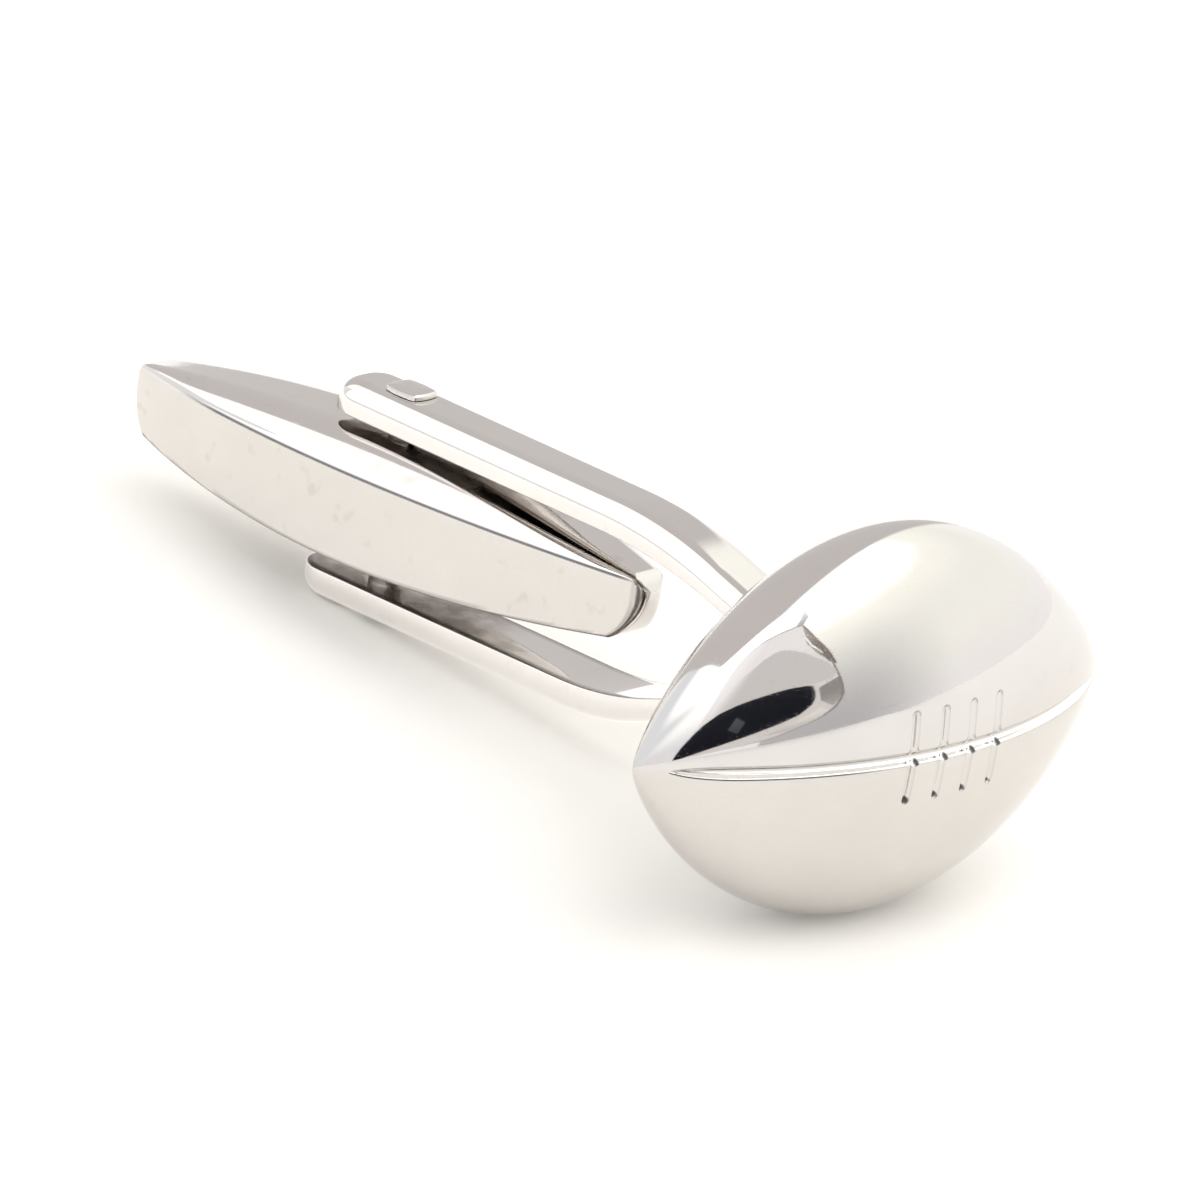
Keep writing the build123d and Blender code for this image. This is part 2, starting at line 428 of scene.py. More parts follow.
def build_arm(name, material, side, tail, bend_place, bend_radius, slant):
    """A strip along its path: rings round its edges, from the inner face out, then both faces."""
    stations = arm_path(side, tail, bend_place, bend_radius, slant)
    half = arm_width / 2
    bevel = [(arm_inner_edge_round * (1 - sin(a)), arm_inner_edge_round * (1 - cos(a)), a - pi / 2)
             for a in np.linspace(0, pi / 2, 4)]
    fillet = [(arm_edge_round * (1 - cos(a)), arm_thickness - arm_edge_round * (1 - sin(a)), a)
              for a in np.linspace(0, pi / 2, 17)]
    levels = bevel + fillet

    def outline(inset):
        """Half outline of the plan at an inset, from the free end's corner to the root."""
        points = []
        for i, (length, *_) in enumerate(stations):
            if i < arm_corner_steps:
                a = pi / 2 - i * pi / 2 / (arm_corner_steps - 1)
                radius = arm_end_round - inset
                x = half - arm_end_round + radius * cos(a)
                points.append((x, arm_end_round - radius * sin(a), cos(a)))
            else:
                points.append((half - inset, length, 1.0))
        return points

    def place_point(x, s, height, station, lift, out_x):
        """A point at x, a length s along the arm and a height over its inner face, with solder."""
        length, y, z, turned = station
        back = s - length
        up = (sin(abs(turned)), cos(turned))
        py = y - back * cos(turned) + height * up[0]
        pz = abs(z) - back * sin(abs(turned)) + height * up[1]
        swell = solder_swell(x, py, side * pz)
        return (x + swell * out_x, py + swell * lift * up[0], side * (pz + swell * lift * up[1]))

    def shade_at(height, y, at_edge):
        """Painted shade along the inner face's border, and tarnish with painted shade on that face
        near the rivet.
        """
        if height > 0:
            return 0.0, 0.0
        away = abs(y - pivot_distance)
        most = upper_arm_tarnish if side > 0 else lower_arm_tarnish
        # Tarnish with painted shade, strongest in the gap round the rivet
        tarnish = min(max(2 - away / arm_tarnish_reach, 0), most)
        return arm_border_residue if at_edge else 0.0, tarnish

    vertices = []
    shades = []

    def add_point(x, s, height, station, tilt, out_x=0, at_edge=True):
        vertices.append(place_point(x, s, height, station, sin(tilt), out_x * cos(tilt)))
        shades.append(shade_at(height, station[1], at_edge))
        return len(vertices) - 1

    between = [1 - 2 * c / (arm_across - 1) for c in range(1, arm_across - 1)]
    rings = []
    for inset, height, tilt in levels:
        half_outline = outline(inset)
        right, left = (
            [add_point(sign * x, s, height, station, tilt, sign * out_x)
             for (x, s, out_x), station in zip(half_outline, stations)]
            for sign in (1, -1)
        )
        x_end, s_end, _ = half_outline[0]
        end = [add_point(x_end * share, s_end, height, stations[0], tilt) for share in between]
        rings.append(right[::-1] + end + left)
    faces = []
    for low, high in zip(rings, rings[1:]):
        for i in range(len(low) - 1):
            faces.append((low[i], low[i + 1], high[i + 1], high[i]))
    count = len(stations)
    caps = []
    for ring, (inset, height, tilt) in ((rings[0], levels[0]), (rings[-1], levels[-1])):
        right = ring[:count][::-1]
        left = ring[-count:]
        rows = [[right[0], *ring[count:-count], left[0]]]
        for j, (x, s, _) in enumerate(outline(inset)[1:], start=1):
            inside = [add_point(x * share, s, height, stations[j], tilt, at_edge=False)
                      for share in between]
            rows.append([right[j], *inside, left[j]])
        for a, b in zip(rows, rows[1:]):
            for c in range(arm_across - 1):
                faces.append((a[c], a[c + 1], b[c + 1], b[c]))
        caps.append(rows[-1])
    left_edge = [ring[-1] for ring in rings[1:-1]]
    right_edge = [ring[0] for ring in rings[-2:0:-1]]
    faces.append(tuple(caps[0] + left_edge + caps[1][::-1] + right_edge))
    residue, tarnish = zip(*shades)
    piece = add_mesh(name, vertices, faces, material, residue=residue, tarnish=tarnish)
    drill(piece, rivet_diameter / 2 + rivet_arm_clearance)
    return piece


# Rivet

def build_rivet(material):
    """The shaft, flush at its lower end, and a soft low square head above the upper arm."""
    angles = [2 * pi * i / rivet_columns for i in range(rivet_columns)]
    half_x = rivet_head_width / 2
    half_y = rivet_head_length / 2
    squareness = 1.6
    least_radius = 0.02

    def head_ring(inset, height):
        """The head's rounded square outline, moved in by inset."""
        radius = max(rivet_head_round - inset, least_radius)
        core_x = half_x - inset - radius
        core_y = half_y - inset - radius
        points = []
        for a in angles:
            x = core_x * np.clip(squareness * cos(a), -1, 1) + radius * cos(a)
            y = core_y * np.clip(squareness * sin(a), -1, 1) + radius * sin(a)
            points.append((x, y, height))
        return points

    def shaft_ring(inset, height):
        radius = rivet_diameter / 2 - inset
        return [(radius * cos(a), radius * sin(a), height) for a in angles]

    arm_face = arm_gap / 2 + arm_thickness
    seat = arm_face + rivet_seat_gap
    rim = seat + rivet_head_height - rivet_head_dome
    rings = [shaft_ring(inset, -arm_face) for inset in (0.4, 0.25, rivet_end_chamfer)]
    rings += [shaft_ring(0, -arm_face + rivet_end_chamfer)]
    rings += [shaft_ring(0, z) for z in np.linspace(-arm_face + 0.2, seat, 24)]
    rings += [head_ring(0.01, seat), head_ring(0, seat + 0.01)]
    for a in np.linspace(0, pi / 2, 9):
        height = rim - rivet_head_soft * (1 - sin(a))
        rings.append(head_ring(rivet_head_soft * (1 - cos(a)), height))
    top_steps = 6
    for step in range(1, top_steps + 1):
        share = step / top_steps
        inset = rivet_head_soft + (half_x - rivet_head_soft - 0.03) * share
        rings.append(head_ring(inset, rim + rivet_head_dome * (1 - (1 - share) ** 2)))
    vertices = [(x, y + pivot_distance, z) for ring in rings for x, y, z in ring]
    # Tarnish and painted shade on the shaft where it lies in the gap between the arms
    tarnish = [rivet_tarnish if abs(z) < arm_gap / 2 else 0 for x, y, z in vertices]
    faces = ring_faces(len(rings), rivet_columns)
    faces.append(tuple(range(rivet_columns)))
    faces.append(tuple(range(len(vertices) - rivet_columns, len(vertices))))
    return add_mesh("rivet", vertices, faces, material, tarnish=tarnish)


# Toggle

def taper(middle, end, share):
    return middle - (middle - end) * share ** 2


def toggle_sizes(y):
    """The section's sizes at y: half width, flat half width, wall top and foot, crown and keel."""
    share = y / (toggle_length / 2)
    width = taper(toggle_half_width, toggle_end_half_width, share)
    flat = taper(toggle_flat_half_width, toggle_end_flat_half_width, share)
    wall_top = taper(toggle_wall_height, toggle_end_wall_height, share)
    wall_foot = taper(toggle_wall_depth, toggle_end_wall_depth, share)
    end_crown = toggle_end_wall_height + toggle_end_crown_rise
    crown = taper(arm_gap / 2 - toggle_side_clearance, end_crown, share)
    end_keel = toggle_end_wall_depth + toggle_end_keel_drop
    keel = taper(toggle_wall_depth + toggle_keel_drop, end_keel, share)
    return width, flat, wall_top, wall_foot, crown, keel


def toggle_outline(y):
    """The toggle's side view at y: its lowest and highest z, with both corners rounded."""
    *_, crown, keel = toggle_sizes(y)
    from_end = toggle_length / 2 - abs(y)
    heights = []
    for height, radius in ((keel, toggle_bottom_corner_round), (crown, toggle_top_corner_round)):
        short = max(radius - from_end, 0)
        heights.append(height - radius + sqrt(max(radius ** 2 - short ** 2, 0)))
    return -heights[0], heights[1]


def end_edges(y, z):
    """For both corners of an end: how far round its edge each point is, and the edge's radius."""
    width, *_, crown, keel = toggle_sizes(y)
    from_end = toggle_length / 2 - abs(y)
    corners = ((1, crown, toggle_top_corner_round), (-1, keel, toggle_bottom_corner_round))
    for sign, height, corner in corners:
        dz = np.maximum(sign * z - (height - corner), 0)
        dy = max(corner - from_end, 0)
        distance = np.hypot(dz, dy)
        at_corner = dz > 0
        corner_inside = corner - distance if dy > 0 else np.full_like(z, corner)
        inside = np.where(at_corner, corner_inside, from_end)
        facing = np.where(at_corner, dy / np.maximum(distance, 1e-6), 1.0)
        extra = toggle_end_edge_round - toggle_wall_edge_round
        edge = np.minimum(toggle_wall_edge_round + extra * facing ** 2, width * toggle_edge_most)
        yield np.clip(1 - inside / edge, 0, 1), edge


def toggle_width_at(y, z):
    """Half width of the toggle at y and an array of z: wall, shoulders, keel and rounded edges."""
    width_here, flat, wall_top, wall_foot, crown, keel = toggle_sizes(y)
    rise = crown - wall_top
    radius = ((width_here - flat) ** 2 + rise ** 2) / (2 * rise)
    over = np.clip(z - (crown - radius), 0, radius)
    shoulder = flat + np.sqrt(radius ** 2 - over ** 2)
    drop = keel - wall_foot
    radius = (width_here ** 2 + drop ** 2) / (2 * drop)
    under = np.clip(-z - (keel - radius), 0, radius)
    belly = np.sqrt(radius ** 2 - under ** 2)
    worn = max(2 * y / toggle_length - toggle_wear_start, 0) / (1 - toggle_wear_start)
    soft = toggle_wall_edge_round + toggle_wear_round * worn ** 2
    width = smooth_min(np.full_like(z, width_here), shoulder, soft)
    width = smooth_min(width, belly, toggle_wall_edge_round)
    for near, edge in end_edges(y, z):
        width = np.minimum(width, width_here - edge * (1 - np.sqrt(1 - near ** 2)))
    return np.maximum(width, 0)


def toggle_ring(y):
    """Half of the toggle's section at y, from the keel up to the crown, denser where it turns."""
    samples = 700
    flat_samples = 12
    turn_weight = 0.9
    low, high = toggle_outline(y)
    z = low + (high - low) * (1 - np.cos(np.linspace(0, pi, samples))) / 2
    x = toggle_width_at(y, z)
    bottom = np.linspace(0, x[0], flat_samples)[:-1]
    top = np.linspace(x[-1], 0, flat_samples)[1:]
    xs = np.concatenate([bottom, x, top])
    zs = np.concatenate([np.full(len(bottom), low), z, np.full(len(top), high)])
    step = np.hypot(np.diff(xs), np.diff(zs))
    heading = np.unwrap(np.arctan2(np.diff(zs), np.diff(xs)))
    good = step > 1e-7
    places = np.arange(len(step))
    heading = np.interp(places, places[good], heading[good])
    turn = np.abs(np.gradient(heading))
    weight = step / step.sum() + turn_weight * turn / turn.sum()
    travel = np.concatenate([[0], np.cumsum(weight)])
    wanted = np.linspace(0, travel[-1], toggle_columns)
    return np.interp(wanted, travel, xs), np.interp(wanted, travel, zs)


def toggle_shades(x, y, z):
    """Painted shade and dark reflections along the toggle's edges and near end, and tarnish with
    painted shade on its keel, at points of a ring.
    """
    width, _, wall_top, wall_foot, *_ = toggle_sizes(y)
    reach = toggle_length / 2
    upper = toggle_upper_line * peak(z, wall_top, toggle_line_width, toggle_line_fullness)
    lower = toggle_lower_line * peak(z, -wall_foot, toggle_line_width, toggle_line_fullness)
    upper = upper * np.clip((toggle_line_end * reach - y) / toggle_line_fade, 0, 1)
    at_wall = np.abs(x) > width - toggle_wall_band
    fade = np.clip((reach - abs(y)) / toggle_end_fade, 0, 1)
    residue = np.where(at_wall, np.maximum(upper, lower), 0) * fade
    # Painted dark reflection bands round the near end
    if y < 0:
        near = np.maximum(*[share for share, _ in end_edges(y, z)])
        for place_on_edge, band_width, fullness, strength in toggle_end_bands:
            band = strength * peak(near, place_on_edge, band_width, fullness)
            residue = np.maximum(residue, band)
    # Tarnish and painted shade under the keel, strongest near the rivet
    under = np.clip((-z - wall_foot) / toggle_keel_fade, 0, 1)
    at_rivet = min(max(2 - abs(y) / toggle_tarnish_reach, 0), 1)
    tarnish = under * (toggle_keel_tarnish + (1 - toggle_keel_tarnish) * at_rivet)
    return residue, tarnish


def build_toggle(material):
    reach = toggle_length / 2
    turned = np.linspace(0, pi / 2, toggle_end_rows)
    ends = reach - toggle_end_reach * (1 - np.cos(turned))
    middle = np.arange(0, reach - toggle_end_reach, toggle_row_step)
    half = np.concatenate([middle, ends[::-1]])
    rings = []
    shades = []
    for y in np.concatenate([-half[:0:-1], half]):
        x, z = toggle_ring(y)
        x = np.concatenate([x, -x[-2:0:-1]])
        z = np.concatenate([z, z[-2:0:-1]])
        rings.append([(a, y, b) for a, b in zip(x, z)])
        shades.append(toggle_shades(x, y, z))
    turn = Matrix.Rotation(radians(toggle_turn), 3, "Z")
    middle_point = Vector((0, pivot_distance, 0))
    vertices = [turn @ Vector(p) + middle_point for ring in rings for p in ring]
    residue, tarnish = (np.concatenate(values) for values in zip(*shades))
    size = len(rings[0])
    faces = ring_faces(len(rings), size)
    faces.append(tuple(range(size)))
    faces.append(tuple(range(len(vertices) - size, len(vertices))))
    piece = add_mesh("toggle", vertices, faces, material, residue=residue, tarnish=tarnish)
    drill(piece, rivet_diameter / 2 + rivet_toggle_clearance)
    return piece


# Materials

class Graph:
    """A material's nodes, added one by one."""

    def __init__(self, name):
        self.material = bpy.data.materials.new(name)
        self.material.use_nodes = True
        self.tree = self.material.node_tree
        self.tree.nodes.clear()

    def node(self, kind, **settings):
        made = self.tree.nodes.new(kind)
        for key, value in settings.items():
            setattr(made, key, value)
        return made

    def feed(self, socket, value):
        """Sets a socket to a number or colour, or links it to another node's output."""
        if isinstance(value, (int, float)):
            socket.default_value = value
        elif isinstance(value, tuple):
            socket.default_value = value if len(value) == len(socket.default_value) else (*value, 1)
        else:
            self.tree.links.new(value, socket)

    def calc(self, operation, *values):
        made = self.node("ShaderNodeMath", operation=operation)
        for socket, value in zip(made.inputs, values):
            self.feed(socket, value)
        return made.outputs[0]

    def step(self, value, start, end, low=0.0, high=1.0):
        """low before start and high after end, smooth in between."""
        made = self.node("ShaderNodeMapRange", interpolation_type="SMOOTHSTEP")
        for key, given in (("Value", value), ("From Min", start), ("From Max", end),
                           ("To Min", low), ("To Max", high)):
            self.feed(made.inputs[key], given)
        return made.outputs[0]

    def band(self, value, start, full, fade, end):
        """1 between full and fade, and 0 before start and after end."""
        rise = self.step(value, start, full)
        return self.calc("MULTIPLY", rise, self.step(value, fade, end, 1.0, 0.0))

    def mix(self, share, first, second):
        made = self.node("ShaderNodeMix", data_type="RGBA")
        self.feed(made.inputs["Factor"], share)
        for name, value in (("A", first), ("B", second)):
            self.feed(next(s for s in made.inputs if s.name == name and s.type == "RGBA"), value)
        return next(s for s in made.outputs if s.type == "RGBA")

    def point(self):
        """The shaded point in its object's own metres."""
        return self.node("ShaderNodeTexCoord").outputs["Object"]

    def point_mm(self):
        return self.stretch(self.point(), (1 / MM, 1 / MM, 1 / MM))

    def towards_point(self):
        """The unit vector from the object's origin to the shaded point."""
        unit = self.node("ShaderNodeVectorMath", operation="NORMALIZE")
        self.feed(unit.inputs[0], self.point())
        return unit.outputs[0]

    def across(self, normal):
        """How far the direction to the point lies on the positive side of a plane."""
        dot = self.node("ShaderNodeVectorMath", operation="DOT_PRODUCT")
        self.feed(dot.inputs[0], self.towards_point())
        dot.inputs[1].default_value = normal
        return dot.outputs["Value"]

    def attribute(self, name):
        return self.node("ShaderNodeAttribute", attribute_name=name).outputs["Fac"]

    def noise(self, vector, scale, detail):
        made = self.node("ShaderNodeTexNoise")
        for key, value in (("Vector", vector), ("Scale", scale), ("Detail", detail)):
            self.feed(made.inputs[key], value)
        return made.outputs[0]

    def stretch(self, vector, scale, turn=(0, 0, 0)):
        made = self.node("ShaderNodeMapping", vector_type="POINT")
        self.feed(made.inputs["Vector"], vector)
        made.inputs["Scale"].default_value = scale
        made.inputs["Rotation"].default_value = turn
        return made.outputs[0]

    def bump(self, height, distance, normal=None):
        made = self.node("ShaderNodeBump")
        made.inputs["Distance"].default_value = distance
        self.feed(made.inputs["Height"], height)
        if normal is not None:
            self.feed(made.inputs["Normal"], normal)
        return made.outputs[0]

    def surface(self, shader):
        output = self.node("ShaderNodeOutputMaterial")
        self.tree.links.new(shader.outputs[0], output.inputs["Surface"])
        return self.material


def darker(tint, share):
    return tuple(c * share for c in tint)


def plate(name, tint, gloss, ripple, smudge):
    """Polished plating: waves from the polishing wheel, grain, hairlines, smudges and stains.

    The attributes lay painted shade and dark reflections, tarnish with painted shade, and a painted
    highlight over it. Scales are per mm and heights of the bumps in metres.
    """
    graph = Graph(name)
    point = graph.point_mm()
    broad = graph.noise(point, 0.32, 2.0)
    waves = graph.noise(point, 0.55, 1.0)
    grain = graph.noise(point, 16.0, 3.0)
    blot = graph.noise(point, 1.7, 4.0)
    hairs = graph.noise(graph.stretch(point, (1.1, 34.0, 30.0), (0.1, 0.5, 0.35)), 1.0, 2.0)
    crossed = graph.noise(graph.stretch(point, (30.0, 1.4, 34.0), (0.4, 0.1, -0.5)), 1.0, 2.0)
    scratch = graph.calc("MAXIMUM", graph.step(hairs, 0.66, 0.74), graph.step(crossed, 0.68, 0.76))
    smudged = graph.calc("MULTIPLY", graph.step(blot, 0.52, 0.68), smudge)
    stained = graph.calc("MULTIPLY", graph.step(blot, 0.6, 0.74), smudge * 0.4)
    residue = graph.attribute("residue")
    patchy = graph.step(blot, 0.3, 0.7, 0.55, 1.0)
    patchy_tarnish_and_shade = graph.calc("MULTIPLY", graph.attribute("tarnish"), patchy)

    tone = graph.mix(graph.step(broad, 0.35, 0.65), tint, darker(tint, 0.975))
    tone = graph.mix(graph.calc("MULTIPLY", grain, 0.13), tone, darker(tint, 0.6))
    tone = graph.mix(stained, tone, stain_tint)
    # Over the tone: a painted highlight, tarnish with painted shade, then painted shade and dark
    # reflections
    tone = graph.mix(graph.attribute("painted_highlight"), tone, painted_highlight_tint)
    tone = graph.mix(patchy_tarnish_and_shade, tone, tarnish_tint)
    tone = graph.mix(residue, tone, residue_tint)

    rough = graph.step(broad, 0.3, 0.7, gloss, gloss + 0.025)
    for cause, share in ((grain, 0.02), (scratch, 0.05), (smudged, 0.1), (patchy_tarnish_and_shade, 0.16)):
        rough = graph.calc("ADD", rough, graph.calc("MULTIPLY", cause, share))

    normal = graph.bump(waves, ripple)
    normal = graph.bump(grain, 0.06e-6, normal)
    normal = graph.bump(scratch, 0.15e-6, normal)

    shader = graph.node("ShaderNodeBsdfPrincipled")
    # Painted shade and tarnish also take some of the metal's shine away
    dulled = graph.calc("MAXIMUM", patchy_tarnish_and_shade, residue)
    graph.feed(shader.inputs["Metallic"], graph.step(dulled, 0.3, 1.0, 1.0, 0.25))
    graph.feed(shader.inputs["Base Color"], tone)
    graph.feed(shader.inputs["Roughness"], rough)
    graph.feed(shader.inputs["Normal"], normal)
    return graph.surface(shader)


# Studio

def direction(azimuth, elevation):
    """Unit vector towards an azimuth and elevation in degrees; azimuth 0 is -Y and 90 is +X."""
    a = radians(azimuth)
    e = radians(elevation)
    return Vector((sin(a) * cos(e), -cos(a) * cos(e), sin(e)))


def sky_angles(graph):
    """Azimuth from -180 to 180 and elevation of a point of the studio, seen from the middle."""
    split = graph.node("ShaderNodeSeparateXYZ")
    graph.feed(split.inputs[0], graph.towards_point())
    x, y, z = split.outputs
    turn = graph.calc("ARCTAN2", x, graph.calc("MULTIPLY", y, -1.0))
    azimuth = graph.calc("MULTIPLY", turn, 180 / pi)
    elevation = graph.calc("MULTIPLY", graph.calc("ARCSINE", z), 180 / pi)
    return azimuth, elevation


def glow(graph, colour):
    emission = graph.node("ShaderNodeEmission")
    graph.feed(emission.inputs["Color"], colour)
    emission.inputs["Strength"].default_value = studio_light
    return graph.surface(emission)


def add_stage(name, vertices, faces, material, seen=False):
    """A thing of the studio, which only the reflections see unless seen is true."""
    mesh = bpy.data.meshes.new(name)
    mesh.from_pydata([tuple(v) for v in vertices], [], faces)
    mesh.materials.append(material)
    material.cycles.emission_sampling = "NONE"
    thing = bpy.data.objects.new(name, mesh)
    scene.collection.objects.link(thing)
    thing.visible_camera = seen
    thing.visible_shadow = seen
    return thing


def on_plane(azimuth, elevation, layer):
    """The point in a direction on the flap's plane, moved inwards by layer steps."""
    towards = direction(azimuth, elevation)
    return towards * (flap_distance - layer * flap_layer_step) / towards.dot(flap_facing)


def add_card(name, outline, low_colour, high_colour, low, high, layer, fade=None):
    """A flat card, cut to azimuths and elevations, shaded upwards from low to high elevation.

    fade is the two azimuths between which it turns from white to its own colour.
    """
    graph = Graph(name)
    azimuth, elevation = sky_angles(graph)
    colour = graph.mix(graph.step(elevation, low, high), low_colour, high_colour)
    if fade:
        colour = graph.mix(graph.step(azimuth, *fade), flap_side_white, colour)
    points = [on_plane(a, e, layer) for a, e in outline]
    add_stage(name, points, [tuple(range(len(points)))], glow(graph, colour))


def add_strip(name, line, colour, layer):
    """A thin strip of one colour along a line of azimuths, elevations and widths in degrees."""
    points = []
    for i, (a, e, width) in enumerate(line):
        before = Vector(line[max(i - 1, 0)][:2])
        after = Vector(line[min(i + 1, len(line) - 1)][:2])
        run = (after - before).normalized()
        side = Vector((-run.y, run.x)) * width / 2
        points.append(on_plane(a + side.x, e + side.y, layer))
        points.append(on_plane(a - side.x, e - side.y, layer))
    faces = [(2 * i, 2 * i + 1, 2 * i + 3, 2 * i + 2) for i in range(len(line) - 1)]
    add_stage(name, points, faces, glow(Graph(name), colour))


def add_camera():
    data = bpy.data.cameras.new("camera")
    camera = bpy.data.objects.new("camera", data)
    scene.collection.objects.link(camera)
    back = direction(view_azimuth, view_elevation)
    turn = (-back).to_track_quat("-Z", "Y").to_matrix().to_4x4()
    roll = Matrix.Rotation(radians(view_roll), 4, "Z")
    camera.matrix_world = Matrix.Translation(view_aim + back * view_distance) @ turn @ roll
    data.sensor_width = 36
    data.lens = view_lens
    data.clip_start = 0.1
    data.clip_end = 10
    scene.camera = camera


def add_floor():
    """A pale matt floor with a faint glow of its own, slightly darker and warmer near the part:
    painted shade round it.
    """
    reach = 2
    graph = Graph("floor")
    point = graph.point_mm()
    shader = graph.node("ShaderNodeBsdfPrincipled")
    fibre = graph.step(graph.noise(point, 0.6, 3.0), 0.3, 0.7)
    away = graph.node("ShaderNodeVectorMath", operation="LENGTH")
    graph.feed(away.inputs[0], point)
    tone = graph.mix(fibre, near_floor_shade_tint, darker(near_floor_shade_tint, 0.98))
    # Painted shade: the floor is darker and warmer near the part, and lighter farther away
    tone = graph.mix(graph.step(away.outputs["Value"], floor_near, floor_far), tone, far_floor_tint)
    graph.feed(shader.inputs["Base Color"], tone)
    shader.inputs["Roughness"].default_value = 0.7
    shader.inputs["Specular IOR Level"].default_value = 0.2
    shader.inputs["Emission Color"].default_value = (*floor_glow, 1)
    shader.inputs["Emission Strength"].default_value = 1.0
    corners = [(-reach, -reach, 0), (reach, -reach, 0), (reach, reach, 0), (-reach, reach, 0)]
    add_stage("floor", corners, [(0, 1, 2, 3)], graph.surface(shader), seen=True)


def add_tent():
    """The soft light tent that the metal mirrors: a dome whose glow changes with direction."""
    graph = Graph("tent")
    azimuth, elevation = sky_angles(graph)
    azimuth = graph.calc("MODULO", graph.calc("ADD", azimuth, 360.0), 360.0)
    ceiling = (1.75, 1.75, 1.75)

    # Front and right walls, lighter upwards, with faint folds and a shaded part beside the flap
    folds = graph.noise(graph.point(), 5.0, 2.0)
    colour = graph.mix(graph.step(elevation, 0.0, 14.0), (1.05, 1.04, 1.05), (1.1, 1.11, 1.06))
    colour = graph.mix(graph.step(elevation, 24.0, 46.0), colour, (1.25, 1.26, 1.19))
    folded = graph.calc("MULTIPLY", graph.step(folds, 0.35, 0.7), 0.1)
    colour = graph.mix(folded, colour, (0.95, 0.94, 0.93))
    colour = graph.mix(graph.step(elevation, 43.0, 56.0), colour, ceiling)
    beside_flap = graph.step(azimuth, 20.0, 50.0, 1.0, 0.0)
    shaded = graph.calc("MULTIPLY", beside_flap, graph.step(elevation, 0.0, 44.0, 1.0, 0.0))
    colour = graph.mix(shaded, colour, (0.57, 0.57, 0.59))

    # Left wall, cooler, with a bright part near the flap
    left = graph.mix(graph.step(elevation, 6.0, 20.0), (0.94, 0.935, 0.955), (0.91, 0.945, 0.985))
    left = graph.mix(graph.step(elevation, 42.0, 57.0), left, ceiling)
    near_flap = graph.step(azimuth, 297.0, 322.0)
    bright = graph.calc("MULTIPLY", near_flap, graph.step(elevation, 12.0, 42.0))
    left = graph.mix(bright, left, (1.45, 1.45, 1.45))
    colour = graph.mix(graph.band(azimuth, 172.0, 196.0, 334.0, 340.0), colour, left)

    # Back wall
    right_side, *other_sides = [graph.across(normal) for normal in back_wall_planes]
    inner = graph.calc("SMOOTH_MIN", other_sides[0], other_sides[1], 0.06)
    inner = graph.calc("SMOOTH_MIN", inner, other_sides[2], 0.12)
    in_right_side = graph.step(right_side, -0.02, 0.03)
    back = graph.calc("MULTIPLY", in_right_side, graph.step(inner, -0.008, 0.008))
    colour = graph.mix(back, colour, (0.66, 0.635, 0.63))

    rows = [[direction(a, e) * tent_radius for a in range(0, 360, 5)] for e in range(-2, 90, 4)]
    columns = len(rows[0])
    vertices = [p for row in rows for p in row]
    faces = ring_faces(len(rows), columns)
    faces.append(tuple(range(len(vertices) - columns, len(vertices))))
    add_stage("tent", vertices, faces, glow(graph, colour))


